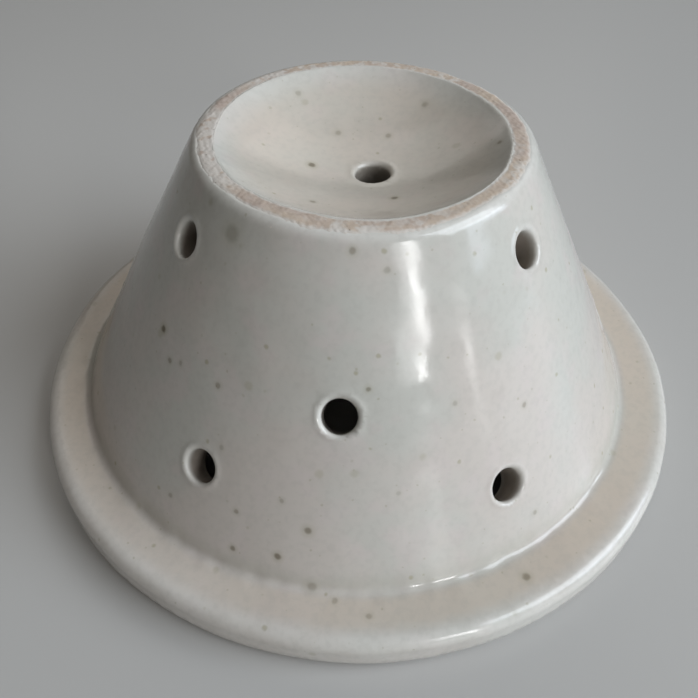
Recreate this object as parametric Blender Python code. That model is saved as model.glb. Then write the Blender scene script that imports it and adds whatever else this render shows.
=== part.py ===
"""Hand-thrown stoneware straining cup with a wide flange, standing mouth down with its foot up.

The object is one fired pot. It is modelled as the two materials it is made of: the clay body, and
the coat of glass (the glaze) that covers the clay everywhere except on the bare foot ring.
Frame: origin at the centre of the resting face of the flange, +Z up along the turning axis, and
the front of the pot towards -Y. Azimuths are in degrees from the front, growing towards +X.
"""
import bpy
from math import acos, ceil, cos, pi, radians, sin, sqrt, tan
from mathutils import Vector

MM = 0.001

# Driving dimensions of the finished, glazed pot.
FLANGE_RADIUS = 42.5 * MM
FLANGE_THICKNESS = 5.2 * MM
RIM_UPPER_ROUND = 1.5 * MM
RIM_LOWER_ROUND = 1.8 * MM
HEIGHT = 39.3 * MM
CREASE_RADIUS = 36.45 * MM       # where the wall would meet the flange without its cove
COVE_ROUND = 1.2 * MM
WALL_TOP_RADIUS = 18.45 * MM
WALL_BULGE = 0.25 * MM
WALL_THICKNESS = 4.0 * MM
MOUTH_ROUND = 1.5 * MM
SHOULDER_ROUND = 1.2 * MM        # both edges of the foot ring
RING_OUTER_RADIUS = 18.2 * MM    # the bare clay band on the foot
RING_INNER_RADIUS = 16.2 * MM
DISH_DEPTH = 5.2 * MM            # the hollow inside the foot ring
FLOOR_THICKNESS = 3.6 * MM
FLOOR_CORNER_ROUND = 5.0 * MM

# Pierced holes: every wall hole lies in a plane through the turning axis and slants down into the pot.
HOLE_RADIUS = 1.83 * MM
HOLE_SLANT = 48.0                # degrees below the horizontal, going inwards
HOLE_REACH = 9.0 * MM            # how far a cutter goes in from the wall's face
HOLE_CLEAR = 5.0 * MM            # how far a cutter stands out of the wall's face
WALL_HOLES = (                   # (azimuth, height): upper row of 3, middle row of 3, lower row of 6
    (-56, 33.4 * MM), (53, 33.7 * MM), (180, 33.7 * MM),
    (-3, 23.3 * MM), (117, 23.0 * MM), (-123, 23.0 * MM),
    (-31, 14.5 * MM), (31.5, 13.0 * MM), (90, 13.5 * MM),
    (150, 13.5 * MM), (-150, 13.5 * MM), (-90, 13.5 * MM),
)
DISH_HOLE_CENTRE = (1.3 * MM, 0)
DISH_HOLE_RADIUS = 2.0 * MM

GLAZE = 0.5 * MM                 # thickness of the glaze coat
GAP = 0.3 * MM                   # space kept between the clay and the glaze solids

TURN_STEPS = 40                  # facets around the turned surfaces
HOLE_STEPS = 10                  # facets around each hole
ARC_STEP = radians(32)           # largest turn between two points of a rounded corner
CURVE_STEPS = 3                  # spans along the wall and across the dish
MERGE = 0.00001

CLAY_COLOR = (0.42, 0.34, 0.28, 1.0)
GLAZE_COLOR = (0.58, 0.56, 0.52, 1.0)


def wall_radius(z):
    """Radius of the outer wall at height z, with its slight bulge."""
    s = (z - FLANGE_THICKNESS) / (HEIGHT - FLANGE_THICKNESS)
    straight = CREASE_RADIUS + (WALL_TOP_RADIUS - CREASE_RADIUS) * s
    return straight + 4 * WALL_BULGE * s * (1 - s)


def inner_radius(z):
    """Radius of the inner wall at height z, one wall thickness inside the straight outer wall."""
    slope = (CREASE_RADIUS - WALL_TOP_RADIUS) / (HEIGHT - FLANGE_THICKNESS)
    across = WALL_THICKNESS * sqrt(1 + slope * slope)
    return CREASE_RADIUS + slope * (FLANGE_THICKNESS - z) - across


def dish_height(r):
    """Height of the hollow in the foot at radius r: part of a sphere."""
    ball = (RING_INNER_RADIUS ** 2 + DISH_DEPTH ** 2) / (2 * DISH_DEPTH)
    return HEIGHT - DISH_DEPTH + ball - sqrt(ball * ball - r * r)


def rounded(corners):
    """Points (r, z) of an open line through corners (r, z, rounding), each rounded by an arc."""
    points = []
    for i, (r, z, rounding) in enumerate(corners):
        here = Vector((r, z))
        if rounding == 0:
            points.append(here)
            continue
        back = (Vector(corners[i - 1][:2]) - here).normalized()
        ahead = (Vector(corners[i + 1][:2]) - here).normalized()
        half = acos(back.dot(ahead)) / 2
        centre = here + (back + ahead).normalized() * (rounding / sin(half))
        start = here + back * (rounding / tan(half)) - centre
        turn = pi - 2 * half
        side = 1 if back.x * ahead.y - back.y * ahead.x < 0 else -1
        count = max(2, ceil(turn / ARC_STEP))
        for k in range(count + 1):
            a = side * turn * k / count
            points.append(centre + Vector((start.x * cos(a) - start.y * sin(a),
                                           start.x * sin(a) + start.y * cos(a))))
    return points


def finished_outline():
    """Half section of the glazed pot, from the dish's centre over the outside to the floor inside."""
    spans = range(1, CURVE_STEPS)
    dish = [RING_INNER_RADIUS * k / CURVE_STEPS for k in spans]
    wall = [HEIGHT + (FLANGE_THICKNESS - HEIGHT) * k / CURVE_STEPS for k in spans]
    floor = HEIGHT - DISH_DEPTH - FLOOR_THICKNESS
    corners = [(0, HEIGHT - DISH_DEPTH, 0)]
    corners += [(r, dish_height(r), 0) for r in dish]
    corners += [(RING_INNER_RADIUS, HEIGHT, SHOULDER_ROUND),
                (WALL_TOP_RADIUS, HEIGHT, SHOULDER_ROUND)]
    corners += [(wall_radius(z), z, 0) for z in wall]
    corners += [(CREASE_RADIUS, FLANGE_THICKNESS, COVE_ROUND),
                (FLANGE_RADIUS, FLANGE_THICKNESS, RIM_UPPER_ROUND),
                (FLANGE_RADIUS, 0, RIM_LOWER_ROUND),
                (inner_radius(0), 0, MOUTH_ROUND),
                (inner_radius(floor), floor, FLOOR_CORNER_ROUND),
                (0, floor, 0)]
    return rounded(corners)


def inset(points, depth):
    """The same line moved into the material, which lies on the right of its direction."""
    moved = []
    for i, here in enumerate(points):
        before = (here - points[i - 1]).normalized() if i > 0 else None
        after = (points[i + 1] - here).normalized() if i < len(points) - 1 else None
        before, after = before or after, after or before
        if i in (0, len(points) - 1):
            before = after = Vector((1, 0)) if i == 0 else Vector((-1, 0))
        along = (before + after).normalized()
        inward = Vector((along.y, -along.x))
        moved.append(here + inward * (depth / before.dot(along)))
    return moved


def turned(name, points):
    """Object turned about the Z axis from a half section that starts and ends on the axis."""
    mesh = bpy.data.meshes.new(name)
    verts = [(p.x, 0, p.y) for p in points]
    mesh.from_pydata(verts, [(i, i + 1) for i in range(len(verts) - 1)], [])
    piece = bpy.data.objects.new(name, mesh)
    bpy.context.scene.collection.objects.link(piece)
    screw = piece.modifiers.new("turn", 'SCREW')
    screw.angle = 2 * pi
    screw.steps = screw.render_steps = TURN_STEPS
    screw.use_merge_vertices = True
    screw.merge_threshold = MERGE
    screw.use_smooth_shade = True
    return piece


def ring_column(name, grow):
    """Upright ring that fills the bare band of the foot, grown by a margin on every side."""
    low = HEIGHT - FLOOR_THICKNESS - grow
    high = HEIGHT + grow
    inner = RING_INNER_RADIUS - grow
    outer = RING_OUTER_RADIUS + grow
    section = [(inner, high), (outer, high), (outer, low), (inner, low)]
    verts = []
    for k in range(TURN_STEPS):
        a = 2 * pi * k / TURN_STEPS
        verts += [(r * cos(a), r * sin(a), z) for r, z in section]
    faces = []
    for k in range(TURN_STEPS):
        here, ahead = 4 * k, 4 * ((k + 1) % TURN_STEPS)
        for j in range(4):
            m = (j + 1) % 4
            faces.append((here + j, here + m, ahead + m, ahead + j))
    mesh = bpy.data.meshes.new(name)
    mesh.from_pydata(verts, [], faces)
    piece = bpy.data.objects.new(name, mesh)
    bpy.context.scene.collection.objects.link(piece)
    return piece


def hole_axes():
    """(start, end, radius) of every hole's cutter, from outside the pot to inside it."""
    slant = radians(HOLE_SLANT)
    axes = []
    for azimuth, z in WALL_HOLES:
        a = radians(azimuth)
        face = Vector((wall_radius(z) * sin(a), -wall_radius(z) * cos(a), z))
        inward = Vector((-sin(a) * cos(slant), cos(a) * cos(slant), -sin(slant)))
        axes.append((face - inward * HOLE_CLEAR, face + inward * HOLE_REACH, HOLE_RADIUS))
    x, y = DISH_HOLE_CENTRE
    top = Vector((x, y, HEIGHT - DISH_DEPTH + HOLE_CLEAR))
    bottom = Vector((x, y, HEIGHT - DISH_DEPTH - HOLE_REACH))
    axes.append((top, bottom, DISH_HOLE_RADIUS))
    return axes


def hole_cutter(name, grow):
    """All the holes as round bars in one mesh, each grown by a margin in radius."""
    verts, faces = [], []
    for start, end, radius in hole_axes():
        along = (end - start).normalized()
        u = along.orthogonal().normalized()
        v = along.cross(u)
        first = len(verts)
        for centre in (start, end):
            for k in range(HOLE_STEPS):
                a = 2 * pi * k / HOLE_STEPS
                verts.append(centre + (u * cos(a) + v * sin(a)) * (radius + grow))
        for k in range(HOLE_STEPS):
            m = (k + 1) % HOLE_STEPS
            faces.append((first + k, first + m, first + HOLE_STEPS + m, first + HOLE_STEPS + k))
        faces.append([first + k for k in reversed(range(HOLE_STEPS))])
        faces.append([first + HOLE_STEPS + k for k in range(HOLE_STEPS)])
    mesh = bpy.data.meshes.new(name)
    mesh.from_pydata([tuple(v) for v in verts], [], faces)
    piece = bpy.data.objects.new(name, mesh)
    bpy.context.scene.collection.objects.link(piece)
    return piece


def hidden(piece):
    """Marks a helper shape, which is not part of the pot."""
    piece.hide_render = True
    piece.display_type = 'WIRE'
    return piece


def boolean(piece, operation, helper):
    """Joins a helper shape to a piece, or cuts it out."""
    modifier = piece.modifiers.new(operation.lower(), 'BOOLEAN')
    modifier.operation = operation
    modifier.solver = 'EXACT'
    modifier.object = helper


def welded(piece):
    """Joins the points that a cut leaves on top of each other."""
    piece.modifiers.new("weld", 'WELD').merge_threshold = MERGE


def coated(piece, name, color, roughness):
    """Gives a piece its own plain material."""
    material = bpy.data.materials.new(name)
    material.use_nodes = True
    shader = material.node_tree.nodes["Principled BSDF"]
    shader.inputs["Base Color"].default_value = color
    shader.inputs["Roughness"].default_value = roughness
    shader.inputs["Metallic"].default_value = 0.0
    piece.data.materials.append(material)


def clay_body():
    """Fired clay: the pot without its glaze, with the bare foot ring standing full height."""
    piece = turned("clay_body", inset(finished_outline(), GLAZE + GAP))
    boolean(piece, 'UNION', hidden(ring_column("clay_ring", 0)))
    boolean(piece, 'DIFFERENCE', hidden(hole_cutter("clay_holes", GLAZE + GAP)))
    welded(piece)
    coated(piece, "bare_stoneware", CLAY_COLOR, 0.85)
    return piece


def glaze_coat():
    """Glaze: the finished pot, less the room for the clay and less the holes."""
    room = hidden(turned("clay_room", inset(finished_outline(), GLAZE)))
    boolean(room, 'UNION', hidden(ring_column("ring_room", GAP)))
    boolean(room, 'DIFFERENCE', hidden(hole_cutter("glazed_holes", GLAZE)))
    piece = turned("glaze_coat", finished_outline())
    boolean(piece, 'DIFFERENCE', hidden(hole_cutter("open_holes", 0)))
    boolean(piece, 'DIFFERENCE', room)
    welded(piece)
    coated(piece, "speckled_glaze", GLAZE_COLOR, 0.18)
    return piece


def main():
    for old in list(bpy.data.objects):
        bpy.data.objects.remove(old, do_unlink=True)
    clay_body()
    glaze_coat()


main()
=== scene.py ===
"""Looks of the straining cup: its fine glazed surface, its bare clay foot ring, light and camera.

The shape is worked out in millimetres as a distance to the pot's surface: a turned outline, with the
pierced holes taken out softly and the small unevenness of a hand-made pot added. Two meshes are drawn
on it: the glaze, and the clay that shows on the foot ring.
"""
from itertools import product
from math import acos, cos, pi, radians, sin, sqrt, tan

import bmesh
import bpy
import numpy as np
from mathutils import Matrix, Quaternion, Vector


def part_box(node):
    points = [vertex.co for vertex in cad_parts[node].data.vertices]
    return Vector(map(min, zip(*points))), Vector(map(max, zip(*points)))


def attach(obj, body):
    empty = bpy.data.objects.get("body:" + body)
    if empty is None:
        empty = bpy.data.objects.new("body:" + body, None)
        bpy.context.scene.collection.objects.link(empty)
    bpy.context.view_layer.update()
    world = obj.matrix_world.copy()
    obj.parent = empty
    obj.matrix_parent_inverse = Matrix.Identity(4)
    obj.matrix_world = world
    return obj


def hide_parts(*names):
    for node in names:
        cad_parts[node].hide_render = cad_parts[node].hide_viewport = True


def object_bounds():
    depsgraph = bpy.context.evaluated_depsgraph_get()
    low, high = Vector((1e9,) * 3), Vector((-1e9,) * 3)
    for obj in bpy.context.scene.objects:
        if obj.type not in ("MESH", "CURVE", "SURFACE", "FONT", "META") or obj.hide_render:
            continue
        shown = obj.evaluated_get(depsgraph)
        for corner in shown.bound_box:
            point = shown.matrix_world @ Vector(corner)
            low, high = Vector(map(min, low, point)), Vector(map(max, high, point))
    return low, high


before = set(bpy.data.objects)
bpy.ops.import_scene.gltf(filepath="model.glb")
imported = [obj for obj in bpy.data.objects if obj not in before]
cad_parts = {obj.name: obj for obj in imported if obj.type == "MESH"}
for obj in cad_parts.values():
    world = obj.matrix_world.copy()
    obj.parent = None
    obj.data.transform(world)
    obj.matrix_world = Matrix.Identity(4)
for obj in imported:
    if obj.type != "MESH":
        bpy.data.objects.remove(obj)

MM = 0.001
CAD_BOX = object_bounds()
FLANGE_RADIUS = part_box("glaze_coat")[1].x / MM
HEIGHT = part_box("clay_body")[1].z / MM

# The turned outline, in millimetres.
FLANGE_THICKNESS = 5.2
RIM_UPPER_ROUND = 1.5
RIM_LOWER_ROUND = 1.8
CREASE_RADIUS = 36.45
COVE_ROUND = 1.0
WALL_TOP_RADIUS = 18.45
WALL_BULGE = 0.25
WALL_THICKNESS = 4.0
MOUTH_ROUND = 1.5
INNER_SHOULDER_ROUND = 0.7
OUTER_SHOULDER_ROUND = 1.9
RING_INNER_RADIUS = 16.2
DISH_DEPTH = 5.2
FLOOR_THICKNESS = 3.6
FLOOR_CORNER_ROUND = 5.0
EDGE_INSET = 0.6                 # how far a rounded edge's middle lies in from its sharp corner

# The holes: (azimuth from the front in degrees, height, radius), slanting down into the cup.
HOLE_SLANT = radians(48)
WALL_HOLES = (
    (-56, 33.4, 1.83), (52.7, 33.8, 1.83), (180, 33.7, 1.83),
    (-3, 23.3, 1.83), (117, 23.0, 1.83), (-123, 23.0, 1.83),
    (-31, 14.5, 1.83), (31.5, 13.2, 1.83), (90, 13.5, 1.83),
    (150, 13.5, 1.83), (-150, 13.5, 1.83), (-90, 13.5, 1.83),
)
DISH_HOLE = (1.3, -0.15, 1.95)   # (x, y, radius), straight down
BORE_AHEAD = 6.0                 # a bore is cut from this far in front of the pot's face
BORE_DEPTH = 10.0                # to this far behind it
LIP_ROUND = 0.6                  # how softly a hole's edge is rounded by the glaze
LIP_BEAD = 0.08                  # the glaze stands this much proud around a hole
BEAD_AT = 0.5                    # distance of the bead's top from the bore
BEAD_WIDTH = 0.35

# The larger iron specks: (azimuth in degrees, height or radius, size, strength).
WALL_SPECKS = (
    (-51.5, 24.5, 0.40, 0.85), (-46, 22.4, 0.30, 0.45), (-42.5, 23, 0.28, 0.3), (-31, 23.2, 0.32, 0.4),
    (3, 26, 0.28, 0.5), (-2, 37.8, 0.34, 0.4), (7.5, 36.2, 0.32, 0.25), (-21.5, 11.6, 0.28, 0.4),
    (-21, 7.5, 0.32, 0.55), (-12.5, 8.2, 0.38, 0.65), (-7.5, 11.6, 0.40, 0.55), (-38.5, 36.7, 0.85, 0.3),
    (-6, 5.6, 0.5, 0.3), (9, 15.7, 0.24, 0.2), (39, 20.3, 0.30, 0.35), (36.5, 8.5, 0.28, 0.3),
    (-36, 9.5, 0.30, 0.3), (-27, 17.5, 0.30, 0.25), (-13, 14.2, 0.28, 0.3), (22, 23.5, 0.28, 0.25),
)
DISH_SPECKS = (
    (-94, 5.7, 0.42, 0.75), (-29, 10.3, 0.32, 0.45), (29, 7.4, 0.38, 0.7), (145, 12.9, 0.42, 0.3),
    (-157, 7.5, 0.38, 0.3), (155, 7.3, 0.38, 0.35), (-145, 13.9, 0.35, 0.25), (88, 15, 0.3, 0.4),
)
FLANGE_SPECKS = ((29.5, 39.1, 0.45, 0.5), (-2, 37.5, 0.35, 0.3), (3, 39.1, 0.35, 0.3))

# The bare band on the foot ring, where the glaze was wiped off.
BARE_FROM = 16.4
BARE_TO = 17.95
INNER_FADE = 0.25                # half the width over which the glaze ends, inside and outside
OUTER_FADE = 0.4
INNER_WANDER = 0.05              # how far its two edges wander
OUTER_WANDER = 0.10
GLAZE_STEP = 0.05                # the glaze ends this much above the clay
RING_SECTIONS = 900              # sections of the clay band around the pot
RING_POINTS = 36                 # points across its top
RING_BOTTOM = 2.0                # how far the clay band reaches down under the glaze

THICK_SIDE = radians(-35)        # where the glaze on the flange is thickest

OFFSET_AT_CREASE = -0.5          # the cup sits a little off the flange's centre, along X
OFFSET_AT_FOOT = -0.12

THROWING_RINGS = 0.012           # depth of the rings that the potter's fingers left
RING_PITCH = 4.2
RINGS_FROM = 8.0                 # they fade in between these heights
RINGS_FULL = 12.0
CREASE_RUNS = 0.026              # unevenness of the glaze that ran together in the crease
CREASE_RUN_LENGTH = 3.2
CREASE_REACH = 1.3
UNEVENNESS = ((18.0, 0.05), (7.0, 0.010), (3.2, 0.005))   # (length, depth) of the surface's swells

# Colours, before light.
GLAZE_WARM = (0.585, 0.535, 0.485)
GLAZE_COOL = (0.550, 0.538, 0.488)
GLAZE_ROSY = (0.600, 0.535, 0.500)
GLAZE_THIN = (0.615, 0.535, 0.445)
GLAZE_POOLED = (0.470, 0.450, 0.390)
# Painted highlight: the pale colour laid along the rounded shoulder, the flange's rim and the holes' lips.
PAINTED_HIGHLIGHT_COLOR = (0.700, 0.680, 0.630)
GLAZE_DUSK = (0.400, 0.380, 0.340)
BORE = (0.370, 0.325, 0.280)
# Painted shade: the near-black colour laid in the foot's hole, where little light reaches.
FOOT_HOLE_SHADE = (0.150, 0.130, 0.105)
SPECK_HALO = (0.345, 0.310, 0.195)
SPECK = (0.110, 0.082, 0.045)
CLAY_PINK = (0.510, 0.415, 0.355)
CLAY_TAN = (0.560, 0.460, 0.365)
CLAY_DARK = (0.400, 0.315, 0.255)
CLAY_SMEAR = (0.640, 0.600, 0.550)

GRID_STEP = 0.9                  # spacing of the grid that the surface is first drawn on
GRID_MARGIN = 1.7
REFINED = (1.6, 0.8)             # edges this near to a hole, crease or rim are halved, round by round
TABLE_STEP = 0.1                 # spacing of the table of distances to the outline
TABLE_MARGIN = 3.0               # how far that table goes past the pot

# The camera: a lens for a frame 36 mm wide, the place of its eye, and its aim.
SENSOR_WIDTH = 36.0
LENS = 37.8722
EYE = (-0.125, -73.145, 79.643)
YAW = -0.016
PITCH = 0.793
ROLL = 0.015

FLOOR_COLOR = (0.50, 0.49, 0.47)
FLOOR_ROUGHNESS = 0.35
FLOOR_SIZE = 3.0                 # metres across
LAMP_DISTANCE = 1.0              # metres from the pot
WORLD_COLOR = (1.0, 0.96, 0.9)
WORLD_STRENGTH = 0.015


def wall_radius(z):
    """Radius of the outer wall at height z."""
    s = (z - FLANGE_THICKNESS) / (HEIGHT - FLANGE_THICKNESS)
    straight = CREASE_RADIUS + (WALL_TOP_RADIUS - CREASE_RADIUS) * s
    return straight + 4 * WALL_BULGE * s * (1 - s)


def inner_radius(z):
    """Radius of the inner wall at height z."""
    lean = (CREASE_RADIUS - WALL_TOP_RADIUS) / (HEIGHT - FLANGE_THICKNESS)
    across = WALL_THICKNESS * sqrt(1 + lean * lean)
    return CREASE_RADIUS + lean * (FLANGE_THICKNESS - z) - across


def dish_height(r):
    """Height of the hollow in the foot at radius r."""
    ball = (RING_INNER_RADIUS ** 2 + DISH_DEPTH ** 2) / (2 * DISH_DEPTH)
    return HEIGHT - DISH_DEPTH + ball - sqrt(ball * ball - r * r)


def rounded(corners, arc_step=radians(9)):
    """Points (r, z) of an open line through corners (r, z, rounding), each rounded by an arc."""
    points = []
    for i, (r, z, rounding) in enumerate(corners):
        here = Vector((r, z))
        if rounding == 0:
            points.append(here)
            continue
        back = (Vector(corners[i - 1][:2]) - here).normalized()
        ahead = (Vector(corners[i + 1][:2]) - here).normalized()
        half = acos(back.dot(ahead)) / 2
        centre = here + (back + ahead).normalized() * (rounding / sin(half))
        start = here + back * (rounding / tan(half)) - centre
        turn = pi - 2 * half
        side = 1 if back.x * ahead.y - back.y * ahead.x < 0 else -1
        count = max(4, round(turn / arc_step))
        for k in range(count + 1):
            a = side * turn * k / count
            points.append(centre + Vector((start.x * cos(a) - start.y * sin(a),
                                           start.x * sin(a) + start.y * cos(a))))
    return np.array([tuple(p) for p in points])


def outline():
    """Half section of the glazed pot, from the dish's centre over the outside to the floor inside."""
    dish = np.linspace(0, RING_INNER_RADIUS, 24)[1:-1]
    wall = np.linspace(HEIGHT, FLANGE_THICKNESS, 24)[2:-2]
    inside = HEIGHT - DISH_DEPTH - FLOOR_THICKNESS
    corners = [(0, HEIGHT - DISH_DEPTH, 0)]
    corners += [(r, dish_height(r), 0) for r in dish]
    corners += [(RING_INNER_RADIUS, HEIGHT, INNER_SHOULDER_ROUND),
                (WALL_TOP_RADIUS, HEIGHT, OUTER_SHOULDER_ROUND)]
    corners += [(wall_radius(z), z, 0) for z in wall]
    corners += [(CREASE_RADIUS, FLANGE_THICKNESS, COVE_ROUND),
                (FLANGE_RADIUS, FLANGE_THICKNESS, RIM_UPPER_ROUND),
                (FLANGE_RADIUS, 0, RIM_LOWER_ROUND),
                (inner_radius(0), 0, MOUTH_ROUND),
                (inner_radius(inside), inside, FLOOR_CORNER_ROUND),
                (0, inside, 0)]
    return rounded(corners)


class Outline:
    """Signed distance to the turned outline, kept in a table over radius and height."""

    def __init__(self):
        self.low = np.array([0.0, -TABLE_MARGIN])
        shape = (int((FLANGE_RADIUS + TABLE_MARGIN) / TABLE_STEP),
                 int((HEIGHT + 2 * TABLE_MARGIN) / TABLE_STEP))
        r_steps, z_steps = (self.low[i] + TABLE_STEP * np.arange(shape[i]) for i in (0, 1))
        r, z = np.meshgrid(r_steps, z_steps, indexing="ij")
        line = outline()
        near = np.full(shape, np.inf)
        inside = np.zeros(shape, bool)
        closed = np.vstack([line, line[:1]])
        for (r0, z0), (r1, z1) in zip(closed[:-1], closed[1:]):
            if (r0, z0) != tuple(line[-1]):
                t = ((r - r0) * (r1 - r0) + (z - z0) * (z1 - z0)) / ((r1 - r0) ** 2 + (z1 - z0) ** 2)
                t = t.clip(0, 1)
                near = np.minimum(near, (r - r0 - t * (r1 - r0)) ** 2 + (z - z0 - t * (z1 - z0)) ** 2)
            if z0 != z1:
                crossed = ((z0 > z) != (z1 > z)) & (r < r0 + (z - z0) * (r1 - r0) / (z1 - z0))
                inside ^= crossed
        self.table = np.sqrt(near) * np.where(inside, -1, 1)

    def __call__(self, points):
        """Distance at points (n, 3), read between the table's places."""
        r = np.hypot(points[:, 0], points[:, 1])
        a = (r - self.low[0]) / TABLE_STEP
        b = (points[:, 2] - self.low[1]) / TABLE_STEP
        a = a.clip(0, self.table.shape[0] - 1.001)
        b = b.clip(0, self.table.shape[1] - 1.001)
        i, j = a.astype(int), b.astype(int)
        u, v = a - i, b - j
        t = self.table
        return ((t[i, j] * (1 - u) + t[i + 1, j] * u) * (1 - v)
                + (t[i, j + 1] * (1 - u) + t[i + 1, j + 1] * u) * v)


def soft_max(a, b, width):
    """The larger of two distances, rounded where they meet."""
    h = (width - np.abs(a - b)).clip(0, None) / width
    return np.maximum(a, b) + h * h * width / 4


def hole_axes():
    """(point on the pot's face, direction inwards, radius) of every hole."""
    axes = []
    for azimuth, z, radius in WALL_HOLES:
        a = radians(azimuth)
        face = np.array([wall_radius(z) * sin(a), -wall_radius(z) * cos(a), z])
        inward = np.array([-sin(a) * cos(HOLE_SLANT), cos(a) * cos(HOLE_SLANT), -sin(HOLE_SLANT)])
        axes.append((face, inward, radius))
    x, y, radius = DISH_HOLE
    axes.append((np.array([x, y, HEIGHT - DISH_DEPTH]), np.array([0.0, 0.0, -1.0]), radius))
    return axes


def bore_distance(points):
    """Distance to the nearest hole's wall, negative inside the hole."""
    nearest = np.full(len(points), np.inf)
    for face, inward, radius in hole_axes():
        away = points - face
        along = away @ inward
        beside = np.sqrt(((away - along[:, None] * inward) ** 2).sum(1))
        reach = np.maximum(-BORE_AHEAD - along, along - BORE_DEPTH).clip(0, None)
        nearest = np.minimum(nearest, np.hypot((beside - radius).clip(0, None), reach)
                             + np.minimum(beside - radius, 0) * (reach == 0))
    return nearest


class Swell:
    """Smooth random height over space: waves of about one length in random directions, rms 1."""

    def __init__(self, length, seed, count=20):
        random = np.random.default_rng(seed)
        way = random.normal(size=(count, 3))
        way /= np.linalg.norm(way, axis=1)[:, None]
        self.ways = way * (2 * pi / length * random.uniform(0.7, 1.4, count))[:, None]
        self.starts = random.uniform(0, 2 * pi, count)

    def __call__(self, points):
        total = np.zeros(len(points))
        for way, start in zip(self.ways, self.starts):
            total += np.sin(points @ way + start)
        return total * sqrt(2 / len(self.ways))


def ragged(seed, size, slowest=3, fastest=70):
    """Function of azimuth (radians) that wanders by about size, quick wiggles being smaller."""
    random = np.random.default_rng(seed)
    turns = np.arange(slowest, fastest)
    sizes = random.normal(size=len(turns)) / turns ** 0.7
    sizes *= size / sqrt((sizes ** 2).sum() / 2)
    starts = random.uniform(0, 2 * pi, len(turns))

    def wander(azimuth):
        total = np.zeros(len(azimuth))
        for turn, part, start in zip(turns, sizes, starts):
            total += part * np.sin(turn * azimuth + start)
        return total
    return wander


TURNED = Outline()
SWELLS = [(Swell(length, seed), depth) for seed, (length, depth) in enumerate(UNEVENNESS, 11)]
CREASE_SWELL = Swell(CREASE_RUN_LENGTH, 41)
INNER_EDGE = ragged(21, INNER_WANDER)
OUTER_EDGE = ragged(22, OUTER_WANDER, 3, 36)
GRAIN = [(Swell(1.6, 31), 0.012), (Swell(0.5, 32), 0.009)]   # (swell, depth) of the clay's grain


def smooth_step(x, start, end):
    """0 before start, 1 after end, and an even curve between them."""
    t = ((x - start) / (end - start)).clip(0, 1)
    return t * t * (3 - 2 * t)


def hump(x, width):
    """1 where x is 0, falling off evenly on both sides over about width."""
    return np.exp(-(x / width) ** 2)


def recentred(points):
    """Points moved back by how far the cup sits off the flange's centre."""
    height = ((points[:, 2] - FLANGE_THICKNESS) / (HEIGHT - FLANGE_THICKNESS)).clip(0, 1)
    radius = np.hypot(points[:, 0], points[:, 1])
    share = 1 - smooth_step(radius, CREASE_RADIUS + 0.5, FLANGE_RADIUS - RIM_UPPER_ROUND)
    shift = (OFFSET_AT_CREASE + (OFFSET_AT_FOOT - OFFSET_AT_CREASE) * height) * share
    return points - shift[:, None] * np.array([1.0, 0.0, 0.0])


def plain_distance(points):
    """Distance to the pot's surface without its small unevenness, negative inside it."""
    points = recentred(points)
    return soft_max(TURNED(points), -bore_distance(points), LIP_ROUND)


def bare_share(points):
    """1 on the foot ring's bare band, 0 on the glaze around it, with ragged edges."""
    radius = np.hypot(points[:, 0], points[:, 1])
    azimuth = np.arctan2(points[:, 0], -points[:, 1])
    inner = BARE_FROM + INNER_EDGE(azimuth)
    outer = BARE_TO + OUTER_EDGE(azimuth)
    band = smooth_step(radius, inner - INNER_FADE, inner + INNER_FADE)
    band *= 1 - smooth_step(radius, outer - OUTER_FADE, outer + OUTER_FADE)
    return band * (points[:, 2] > HEIGHT - RING_BOTTOM)


def unevenness(centred):
    """How far the hand-made surface stands out from the turned one, and how glaze ran in the crease."""
    azimuth = np.arctan2(centred[:, 0], -centred[:, 1])
    radius = np.hypot(centred[:, 0], centred[:, 1])
    z = centred[:, 2]
    height = THROWING_RINGS * np.sin(2 * pi * z / RING_PITCH + azimuth)
    height *= smooth_step(z, RINGS_FROM, RINGS_FULL)
    for swell, depth in SWELLS:
        height += depth * swell(centred)
    from_crease = np.hypot(radius - CREASE_RADIUS, z - FLANGE_THICKNESS)
    return height + CREASE_RUNS * CREASE_SWELL(centred) * hump(from_crease, CREASE_REACH)


def glaze_distance(points):
    """Distance to the glaze's surface: uneven, beaded around the holes, sunk below the bare clay."""
    centred = recentred(points)
    bore = bore_distance(centred)
    bead = LIP_BEAD * hump(bore - BEAD_AT, BEAD_WIDTH)
    sunk = 3 * GLAZE_STEP * bare_share(centred)
    return soft_max(TURNED(centred) - unevenness(centred) - bead + sunk, -bore, LIP_ROUND)


def slope(distance, points, step=0.15):
    """Gradient of a distance at points, from both sides of them."""
    return np.stack([(distance(points + step * e) - distance(points - step * e)) / (2 * step)
                     for e in np.eye(3)], axis=1)


def settled(distance, points, rounds=4):
    """Points moved onto the surface where the distance is zero."""
    step = 0.03
    for _ in range(rounds):
        here = distance(points)
        g = np.stack([(distance(points + step * e) - here) / step for e in np.eye(3)], axis=1)
        points = points - here[:, None] * g / (g * g).sum(1).clip(0.2, None)[:, None]
    return points


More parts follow.
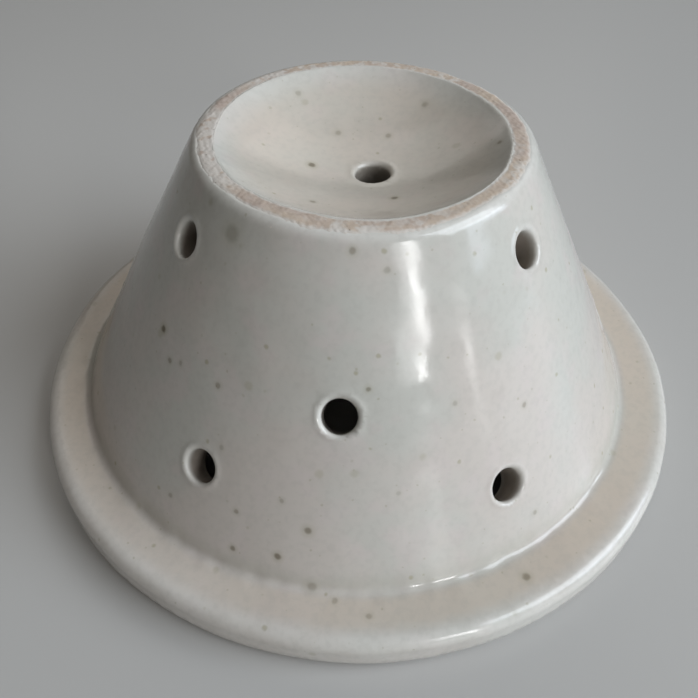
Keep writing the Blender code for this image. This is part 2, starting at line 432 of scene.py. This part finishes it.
def surface_net(distance, low, high, step):
    """(points, quads) around a distance's zero level: one point in each grid cell that it crosses."""
    axes = [np.arange(low[i], high[i], step) for i in range(3)]
    field = np.empty([len(a) for a in axes])
    for k, z in enumerate(axes[2]):
        x, y = np.meshgrid(axes[0], axes[1], indexing="ij")
        level = np.stack([x.ravel(), y.ravel(), np.full(x.size, z)], axis=1)
        field[:, :, k] = distance(level).reshape(x.shape)
    inside = field < 0
    cells = [n - 1 for n in field.shape]

    def corner(grid, offset):
        return grid[tuple(slice(o, o + n) for o, n in zip(offset, cells))]

    count = sum(corner(inside, o).astype(int) for o in product((0, 1), repeat=3))
    active = (count > 0) & (count < 8)
    index = np.full(cells, -1)
    index[active] = np.arange(active.sum())
    total = np.zeros((active.sum(), 3))
    crossings = np.zeros(active.sum())
    for axis in range(3):
        for side in product((0, 1), repeat=2):
            start = list(side)
            start.insert(axis, 0)
            end = list(start)
            end[axis] = 1
            d0, d1 = corner(field, start)[active], corner(field, end)[active]
            crosses = (d0 < 0) != (d1 < 0)
            t = np.where(crosses, d0 / np.where(crosses, d0 - d1, 1), 0)
            at = np.array(start, float) + t[:, None] * (np.array(end) - np.array(start))
            total += at * crosses[:, None]
            crossings += crosses
    places = np.argwhere(active) + total / crossings[:, None]
    quads = []
    for axis in range(3):
        b, c = [i for i in range(3) if i != axis]
        ahead = [slice(None)] * 3
        ahead[axis] = slice(1, None)
        behind = [slice(None)] * 3
        behind[axis] = slice(None, -1)
        first, last = inside[tuple(behind)], inside[tuple(ahead)]
        for leaving in (True, False):
            edges = np.argwhere((first == leaving) & (last != leaving))
            ring = []
            for db, dc in ((1, 1), (0, 1), (0, 0), (1, 0)):
                cell = edges.copy()
                cell[:, b] -= db
                cell[:, c] -= dc
                ring.append(index[tuple(cell.T)])
            ring = np.stack(ring, axis=1)
            forward = leaving == (axis != 1)
            quads.append(ring if forward else ring[:, ::-1])
    return np.array(low) + step * places, np.vstack(quads)


def relaxed(points, edges, rounds=3):
    """Points moved half way to the middle of their neighbours."""
    degree = np.bincount(edges.ravel(), minlength=len(points))
    for _ in range(rounds):
        middle = np.zeros_like(points)
        for i in range(3):
            middle[:, i] = np.bincount(edges[:, 0], points[edges[:, 1], i], len(points))
            middle[:, i] += np.bincount(edges[:, 1], points[edges[:, 0], i], len(points))
        points = (points + middle / degree[:, None]) / 2
    return points


def mesh_points(mesh):
    """A mesh's points in millimetres."""
    flat = np.empty(len(mesh.vertices) * 3)
    mesh.vertices.foreach_get("co", flat)
    return flat.reshape(-1, 3) / MM


def mesh_edges(mesh):
    """A mesh's edges as pairs of point numbers."""
    flat = np.empty(len(mesh.edges) * 2, int)
    mesh.edges.foreach_get("vertices", flat)
    return flat.reshape(-1, 2)


def place(mesh, points):
    """Moves a mesh's points to places given in millimetres."""
    mesh.vertices.foreach_set("co", (points * MM).ravel())
    mesh.update()


def refine(mesh, chosen):
    """Halves the edges whose two ends are both chosen."""
    work = bmesh.new()
    work.from_mesh(mesh)
    work.verts.ensure_lookup_table()
    edges = [e for e in work.edges if chosen[e.verts[0].index] and chosen[e.verts[1].index]]
    bmesh.ops.subdivide_edges(work, edges=edges, cuts=1, use_grid_fill=True)
    work.to_mesh(mesh)
    work.free()


def new_piece(name, mesh):
    """Object of a finished mesh, shaded smooth, that rides on the pot's one body."""
    mesh.shade_smooth()
    piece = bpy.data.objects.new(name, mesh)
    bpy.context.scene.collection.objects.link(piece)
    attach(piece, "root")
    return piece


def near_line(points, reach, r_line, z_line):
    """Whether each point lies within reach of the circle at radius r_line and height z_line."""
    centred = recentred(points)
    radius = np.hypot(centred[:, 0], centred[:, 1])
    return np.hypot(radius - r_line, centred[:, 2] - z_line) < reach


def near_rim(points, reach):
    """Whether each point lies within reach of the flange's two edges or the mouth's edge."""
    outer = FLANGE_RADIUS - EDGE_INSET
    return (near_line(points, reach, outer, FLANGE_THICKNESS - EDGE_INSET)
            | near_line(points, reach, outer, EDGE_INSET)
            | near_line(points, reach, inner_radius(0) + 0.8, EDGE_INSET))


def near_ring(points, reach):
    """Whether each point lies within reach of the foot ring's top."""
    radius = np.hypot(points[:, 0], points[:, 1])
    return ((radius > BARE_FROM - reach) & (radius < BARE_TO + reach)
            & (points[:, 2] > HEIGHT - 1 - reach))


def near_ring_edges(points):
    """Whether each point lies where the glaze ends on the foot ring."""
    radius = np.hypot(points[:, 0], points[:, 1])
    edges = np.minimum(np.abs(radius - BARE_FROM), np.abs(radius - BARE_TO))
    return (edges < 0.4) & (points[:, 2] > HEIGHT - 1.5)


def glazed_surface():
    """The glaze: the whole pot's surface, finest at the holes and the foot ring."""
    side = FLANGE_RADIUS + GRID_MARGIN
    low = (-side, -side, -GRID_MARGIN)
    high = (side, side, HEIGHT + GRID_MARGIN)
    points, quads = surface_net(plain_distance, low, high, GRID_STEP)
    mesh = bpy.data.meshes.new("glazed_surface")
    mesh.from_pydata((points * MM).tolist(), [], quads.tolist())
    for reach in REFINED:
        points = settled(plain_distance, relaxed(mesh_points(mesh), mesh_edges(mesh)), 2)
        place(mesh, points)
        chosen = np.abs(bore_distance(recentred(points))) < reach
        if reach == REFINED[0]:
            chosen |= near_rim(points, reach)
        else:
            chosen &= on_outside(points)
        chosen |= near_line(points, 1.2 * reach, CREASE_RADIUS, FLANGE_THICKNESS)
        refine(mesh, chosen | near_ring(points, reach))
    points = settled(plain_distance, relaxed(mesh_points(mesh), mesh_edges(mesh)), 2)
    place(mesh, points)
    refine(mesh, near_ring_edges(points))
    points = settled(glaze_distance, relaxed(mesh_points(mesh), mesh_edges(mesh), 2))
    place(mesh, points)
    for name, values in surface_marks(points).items():
        mesh.attributes.new(name, 'FLOAT', 'POINT').data.foreach_set("value", values)
    piece = new_piece("glazed_surface", mesh)
    normals = slope(glaze_distance, points, 0.1)
    normals /= np.linalg.norm(normals, axis=1)[:, None]
    kept = mesh.attributes.new("custom_normal", 'FLOAT_VECTOR', 'POINT')
    kept.data.foreach_set("vector", normals.ravel())
    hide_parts("glaze_coat")
    piece.data.materials.append(glaze_material())


def on_outside(points):
    """Whether each point lies on the pot's face and not far down a hole."""
    return np.abs(TURNED(recentred(points))) < 0.8


def surface_marks(points):
    """Where the glaze differs, 0 to 1 at each point.

    bore: in the holes, and painted shade darkening the foot's hole to near black just below its edge; lip:
    a paler glaze bead around the holes, partly painted highlight;
    thin: on the flange and in the dish; pool: in the crease; rim: on the flange's edge; pale: painted
    highlight along the outer shoulder below the foot ring and the flange's rounded rim, and a paler band
    around the dish's brim.
    """
    centred = recentred(points)
    radius = np.hypot(centred[:, 0], centred[:, 1])
    z = centred[:, 2]
    depth = -TURNED(centred)
    bore = bore_distance(centred)
    crease = np.hypot(radius - CREASE_RADIUS + 0.3, z - FLANGE_THICKNESS - 1.0)
    outside = (z > FLANGE_THICKNESS - 1) & (radius > CREASE_RADIUS - 2)
    land = smooth_step(radius, CREASE_RADIUS + 0.2, CREASE_RADIUS + 1.2)
    land *= z > FLANGE_THICKNESS - 1.5
    azimuth = np.arctan2(centred[:, 0], -centred[:, 1])
    land *= 1 - 0.6 * hump(azimuth - THICK_SIDE, 0.5)
    edge = 1 - smooth_step(np.abs(radius - FLANGE_RADIUS + EDGE_INSET), 0.2, 2.2)
    dish = (radius < BARE_FROM + 0.3) & (z > HEIGHT - DISH_DEPTH - 2)
    shoulder = hump(radius - BARE_TO - 0.35, 0.5) * (z > HEIGHT - 2)
    brim = smooth_step(radius, BARE_FROM - 3.5, BARE_FROM) * dish
    foot_hole = (radius < 4) & (z > HEIGHT / 2)
    return {
        "bore": smooth_step(depth, 0.4, 1.2),
        # Painted shade in the foot's hole: darkens it towards near black from just below its edge.
        "foot_hole_shade": smooth_step(depth, 0.05, 0.5) * foot_hole,
        # A paler glaze bead around each hole, partly painted highlight laid evenly round its lip.
        "lip": hump(bore, 0.4) * (1 - smooth_step(depth, 0.25, 0.6)) * (1 - 0.5 * dish),
        "thin": (land * (1 - edge) + 0.6 * dish * (1 - brim)).clip(0, 1),
        "pool": hump(crease, 1.0) * outside,
        "rim": edge * (z > 1),
        # Painted highlight along the outer shoulder below the foot ring and on the flange's rim, with a
        # paler band on the dish's brim.
        "pale": np.maximum(np.maximum(shoulder, 0.45 * brim), 0.6 * edge * (z > 1)),
    }


def bare_foot_ring():
    """The clay that shows on the foot ring: a closed band just under the glaze around it."""
    line = outline()
    top = line[(line[:, 0] > BARE_FROM - 0.9) & (line[:, 1] > HEIGHT - 1.1)]
    along = np.concatenate([[0], np.cumsum(np.hypot(*np.diff(top, axis=0).T))])
    even = np.linspace(0, along[-1], RING_POINTS)
    section = np.stack([np.interp(even, along, top[:, i]) for i in (0, 1)], axis=1)
    bottom = HEIGHT - RING_BOTTOM
    section = np.vstack([section, [(section[-1, 0] - 0.6, bottom), (section[0, 0] + 0.6, bottom)]])
    azimuth = np.linspace(0, 2 * pi, RING_SECTIONS, endpoint=False)[:, None]
    heights = np.broadcast_to(section[:, 1], (RING_SECTIONS, len(section)))
    points = np.stack([section[:, 0] * np.sin(azimuth), -section[:, 0] * np.cos(azimuth), heights], axis=2)
    points = points.reshape(-1, 3)
    upper = points[:, 2] > bottom + 0.5
    grain = sum(depth * swell(points) for swell, depth in GRAIN)
    outwards = slope(TURNED, points)
    band = bare_share(points)
    points = points + outwards * ((unevenness(points) + grain - GLAZE_STEP) * upper)[:, None]
    points[:, 0] += OFFSET_AT_FOOT
    number = np.arange(len(points)).reshape(RING_SECTIONS, -1)
    across, ahead = np.roll(number, -1, axis=1), np.roll(number, -1, axis=0)
    corner = np.roll(across, -1, axis=0)
    quads = np.stack([number, ahead, corner, across], axis=2).reshape(-1, 4)
    mesh = bpy.data.meshes.new("bare_foot_ring")
    mesh.from_pydata((points * MM).tolist(), [], quads.tolist())
    mesh.attributes.new("veil", 'FLOAT', 'POINT').data.foreach_set("value", 1 - band)
    piece = new_piece("bare_foot_ring", mesh)
    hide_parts("clay_body")
    piece.data.materials.append(clay_material())


class Graph:
    """Short ways to add the nodes of one material. Lengths are in millimetres."""

    def __init__(self, name, **sockets):
        self.material = bpy.data.materials.new(name)
        self.material.use_nodes = True
        self.tree = self.material.node_tree
        self.shader = self.tree.nodes["Principled BSDF"]
        for socket, value in sockets.items():
            self.shader.inputs[socket.replace("_", " ")].default_value = value
        self.place = self.node("ShaderNodeTexCoord").outputs["Object"]

    def node(self, kind, sockets=(), **settings):
        """A node with its settings, and its input sockets set or linked by number or name."""
        made = self.tree.nodes.new(kind)
        for setting, value in settings.items():
            setattr(made, setting, value)
        for socket, value in dict(sockets).items():
            if isinstance(value, bpy.types.NodeSocket):
                self.tree.links.new(value, made.inputs[socket])
            else:
                made.inputs[socket].default_value = value
        return made

    def noise(self, size, detail=2.0, part="Fac", place=None):
        """Noise whose blotches are about size across."""
        sockets = {"Vector": place or self.place, "Scale": 1 / (size * MM), "Detail": detail}
        return self.node("ShaderNodeTexNoise", sockets).outputs[part]

    def mark(self, name):
        """A value kept on the mesh's points."""
        return self.node("ShaderNodeAttribute", attribute_name=name).outputs["Fac"]

    def math(self, operation, *values):
        return self.node("ShaderNodeMath", enumerate(values), operation=operation).outputs[0]

    def spread(self, value, start, end, low=0.0, high=1.0):
        """low before start, high after end, smooth between."""
        sockets = {"Value": value, "From Min": start, "From Max": end, "To Min": low, "To Max": high}
        return self.node("ShaderNodeMapRange", sockets, interpolation_type='SMOOTHSTEP').outputs[0]

    def blend(self, share, first, second):
        """The first colour turned into the second by share."""
        first, second = [c if isinstance(c, bpy.types.NodeSocket) else (*c, 1) for c in (first, second)]
        sockets = {"Factor": share, 6: first, 7: second}
        return self.node("ShaderNodeMix", sockets, data_type='RGBA').outputs[2]

    def shaken(self, amount, size):
        """The place moved about by amount, so that round marks come out irregular."""
        noise = self.noise(size, 1.0, "Color")
        moved = self.node("ShaderNodeVectorMath", {0: noise, 1: (0.5, 0.5, 0.5)}, operation='SUBTRACT')
        sockets = {0: moved.outputs[0], 1: (2 * amount * MM,) * 3, 2: self.place}
        return self.node("ShaderNodeVectorMath", sockets, operation='MULTIPLY_ADD').outputs[0]

    def scattered(self, spacing, radius, share, place):
        """Round specks up to radius, one in a cell of the spacing, in a share of the cells."""
        sockets = {"Vector": place, "Scale": 1 / (spacing * MM)}
        cells = self.node("ShaderNodeTexVoronoi", sockets)
        pick = self.node("ShaderNodeSeparateColor", {0: cells.outputs["Color"]})
        size = self.spread(pick.outputs[0], 1 - share, 1.0, 0.0, radius / spacing)
        near = self.math('SUBTRACT', size, cells.outputs["Distance"])
        spot = self.spread(near, -0.25 * radius / spacing, 0.5 * radius / spacing)
        return self.math('MULTIPLY', spot, self.math('GREATER_THAN', size, 0.02))

    def bump(self, height, depth):
        """Feeds a height of 0 to 1, which stands for depth, to the shader's normal."""
        made = self.node("ShaderNodeBump", {"Height": height, "Distance": depth * MM, "Strength": 1.0})
        self.tree.links.new(made.outputs[0], self.shader.inputs["Normal"])

    def feed(self, **values):
        for socket, value in values.items():
            self.tree.links.new(value, self.shader.inputs[socket.replace("_", " ")])


def speck_places():
    """(place in metres, size, strength) of the larger iron specks."""
    turned = [(azimuth, wall_radius(z), z, *look) for azimuth, z, *look in WALL_SPECKS]
    turned += [(azimuth, r, dish_height(r), *look) for azimuth, r, *look in DISH_SPECKS]
    turned += [(azimuth, r, FLANGE_THICKNESS, *look) for azimuth, r, *look in FLANGE_SPECKS]
    places = []
    for azimuth, r, z, size, strength in turned:
        a = radians(azimuth)
        point = np.array([r * sin(a), -r * cos(a), z])
        shift = point - recentred(point[None])[0]
        places.append((tuple(MM * (point + shift)), size, strength))
    return places


def glaze_material():
    """Shiny, nearly opaque stoneware glaze: mottled, pooled in the crease, with iron specks."""
    g = Graph("speckled_glaze", IOR=1.5)
    cloud = g.noise(14, 3.0)
    patch = g.noise(4.5, 3.0)
    grain = g.noise(0.8, 2.0)
    height = g.node("ShaderNodeSeparateXYZ", {0: g.place}).outputs["Z"]
    upper = g.spread(height, 16 * MM, 30 * MM, -0.1, 0.08)
    color = g.blend(g.spread(g.math('ADD', cloud, upper), 0.36, 0.62), GLAZE_WARM, GLAZE_COOL)
    color = g.blend(g.math('MULTIPLY', g.spread(patch, 0.5, 0.68), 0.55), color, GLAZE_ROSY)
    thin = g.math('MULTIPLY', g.mark("thin"), g.spread(cloud, 0.2, 0.7, 1.0, 0.75))
    color = g.blend(thin, color, GLAZE_THIN)
    color = g.blend(g.math('MULTIPLY', g.mark("pool"), 0.5), color, GLAZE_POOLED)
    # Painted highlight: the shoulder and the flange's rim turned pale.
    pale = g.math('MULTIPLY', g.mark("pale"), g.spread(patch, 0.3, 0.6, 0.5, 0.9))
    color = g.blend(pale, color, PAINTED_HIGHLIGHT_COLOR)
    # Paler glaze bead around the holes, partly painted highlight.
    color = g.blend(g.math('MULTIPLY', g.mark("lip"), 0.8), color, PAINTED_HIGHLIGHT_COLOR)
    color = g.blend(g.mark("bore"), color, BORE)
    # Painted shade: the foot's hole darkened towards near black.
    color = g.blend(g.math('MULTIPLY', g.mark("foot_hole_shade"), 0.75), color, FOOT_HOLE_SHADE)
    color = g.blend(g.math('MULTIPLY', g.spread(grain, 0.40, 0.72), 0.16), color, GLAZE_DUSK)

    shaken = g.shaken(0.12, 0.7)
    for spacing, radius, share, strength in ((3.6, 0.55, 0.5, 0.30), (2.2, 0.32, 0.7, 0.55),
                                             (1.1, 0.16, 0.6, 0.4)):
        specks = g.scattered(spacing, radius, share, shaken)
        color = g.blend(g.math('MULTIPLY', specks, strength), color, SPECK_HALO)
    cores, halos = 0.0, 0.0
    for centre, radius, strength in speck_places():
        far = g.node("ShaderNodeVectorMath", {0: shaken, 1: centre}, operation='DISTANCE').outputs["Value"]
        core = g.spread(far, 0.5 * radius * MM, 1.4 * radius * MM, strength, 0.0)
        halo = g.spread(far, 0.6 * radius * MM, 2.8 * radius * MM, 0.55 * strength, 0.0)
        cores = g.math('MAXIMUM', cores, core)
        halos = g.math('MAXIMUM', halos, halo)
    color = g.blend(halos, color, SPECK_HALO)
    color = g.blend(cores, color, SPECK)

    peel = g.math('MULTIPLY_ADD', g.noise(1.9, 2.0), 0.8, g.math('MULTIPLY', g.noise(0.5, 1.0), 0.2))
    g.bump(peel, 0.014)
    gloss = g.spread(g.noise(3.0, 3.0), 0.3, 0.7, 0.10, 0.18)
    satin = g.math('MULTIPLY_ADD', g.math('MAXIMUM', g.mark("thin"), g.mark("rim")), 0.07, gloss)
    g.feed(Base_Color=color, Roughness=satin)
    return g.material


def clay_material():
    """Bare fired stoneware: pinkish tan, gritty, with glaze left on it in smears."""
    g = Graph("bare_stoneware", Specular_IOR_Level=0.3)
    color = g.blend(g.spread(g.noise(5.0, 3.0), 0.35, 0.65), CLAY_PINK, CLAY_TAN)
    color = g.blend(g.spread(g.noise(0.4, 4.0), 0.45, 0.8, 0.0, 0.6), color, CLAY_DARK)
    x = g.node("ShaderNodeSeparateXYZ", {0: g.place}).outputs["X"]
    side = g.spread(x, -16 * MM, -4 * MM, 0.16, 0.0)
    patches = g.spread(g.math('ADD', g.noise(9.0, 1.0), side), 0.42, 0.6)
    smear = g.math('MULTIPLY', g.spread(g.math('ADD', g.noise(1.4, 4.0), side), 0.47, 0.62), patches)
    color = g.blend(g.math('MULTIPLY', smear, 0.8), color, CLAY_SMEAR)
    veil = g.spread(g.math('ADD', g.mark("veil"), g.noise(0.7, 3.0)), 0.45, 1.1, 0.0, 0.8)
    color = g.blend(veil, color, CLAY_SMEAR)
    grit = g.scattered(0.9, 0.14, 0.6, g.shaken(0.05, 0.3))
    color = g.blend(g.math('MULTIPLY', grit, 0.6), color, SPECK)
    g.bump(g.noise(0.3, 4.0), 0.025)
    g.feed(Base_Color=color, Roughness=g.spread(smear, 0.2, 0.9, 0.85, 0.5))
    return g.material


def floor():
    """Plain pale floor that the flange rests on."""
    mesh = bpy.data.meshes.new("floor")
    half = FLOOR_SIZE / 2
    corners = [(-half, -half, 0), (half, -half, 0), (half, half, 0), (-half, half, 0)]
    mesh.from_pydata(corners, [], [(0, 1, 2, 3)])
    plane = bpy.data.objects.new("floor", mesh)
    plane.location.z = CAD_BOX[0].z
    bpy.context.scene.collection.objects.link(plane)
    material = bpy.data.materials.new("floor")
    material.use_nodes = True
    shader = material.node_tree.nodes["Principled BSDF"]
    shader.inputs["Base Color"].default_value = (*FLOOR_COLOR, 1)
    shader.inputs["Roughness"].default_value = FLOOR_ROUGHNESS
    plane.data.materials.append(material)


def softbox(name, azimuth, elevation, width, height, power, color=(1, 1, 1), tilt=0, mirrored=True):
    """Rectangular lamp aimed at the pot. Angles in degrees, sizes in metres, power in watts.

    tilt turns it about its own axis, and mirrored says whether the glaze shows it.
    """
    lamp = bpy.data.lights.new(name, 'AREA')
    lamp.shape = 'RECTANGLE'
    lamp.size = width
    lamp.size_y = height
    lamp.energy = power
    lamp.color = color
    holder = bpy.data.objects.new(name, lamp)
    a, e = radians(azimuth), radians(elevation)
    away = Vector((sin(a) * cos(e), -cos(a) * cos(e), sin(e)))
    aim = Vector((0, 0, HEIGHT / 2 * MM))
    holder.location = aim + away * LAMP_DISTANCE
    facing = away.to_track_quat('Z', 'Y')
    holder.rotation_euler = (facing @ Quaternion((0, 0, 1), radians(tilt))).to_euler()
    holder.visible_glossy = mirrored
    bpy.context.scene.collection.objects.link(holder)


def lights():
    """Daylight from the right, a narrow window in front with its frame, and weak warm fills."""
    softbox("daylight", 73, 36, 0.80, 0.56, 8.4, (0.85, 0.92, 1.0))
    softbox("low_daylight", 80, 18, 0.60, 0.32, 2.25, (0.74, 0.86, 1.0))
    softbox("window", 30, 18, 0.09, 0.36, 1.7, tilt=8)
    softbox("window_frame", 24.5, 18, 0.10, 0.36, 0.4, tilt=2)
    softbox("far_pane", 53, 4, 0.05, 0.16, 0.14, tilt=12)
    softbox("back_fill", 185, 40, 0.9, 0.6, 1.6, (1.0, 0.96, 0.90))
    softbox("top_fill", -20, 78, 0.9, 0.9, 1.4, (1.0, 0.97, 0.93), mirrored=False)
    world = bpy.data.worlds.new("studio")
    world.use_nodes = True
    background = world.node_tree.nodes["Background"]
    background.inputs["Color"].default_value = (*WORLD_COLOR, 1)
    background.inputs["Strength"].default_value = WORLD_STRENGTH
    bpy.context.scene.world = world


def camera():
    """Camera close above the pot's front, looking down at it."""
    data = bpy.data.cameras.new("camera")
    data.sensor_width = SENSOR_WIDTH
    data.lens = LENS
    data.clip_start = 0.005
    eye = bpy.data.objects.new("camera", data)
    ahead = Vector((sin(YAW) * cos(PITCH), cos(YAW) * cos(PITCH), -sin(PITCH)))
    level = Vector((cos(YAW), -sin(YAW), 0))
    upright = level.cross(ahead)
    right = level * cos(ROLL) + upright * sin(ROLL)
    up = upright * cos(ROLL) - level * sin(ROLL)
    pose = Matrix((right, up, -ahead)).transposed().to_4x4()
    pose.translation = Vector(EYE) * MM
    eye.matrix_world = pose
    bpy.context.scene.view_settings.view_transform = 'Standard'
    bpy.context.scene.collection.objects.link(eye)
    bpy.context.scene.camera = eye


glazed_surface()
bare_foot_ring()
floor()
lights()
camera()
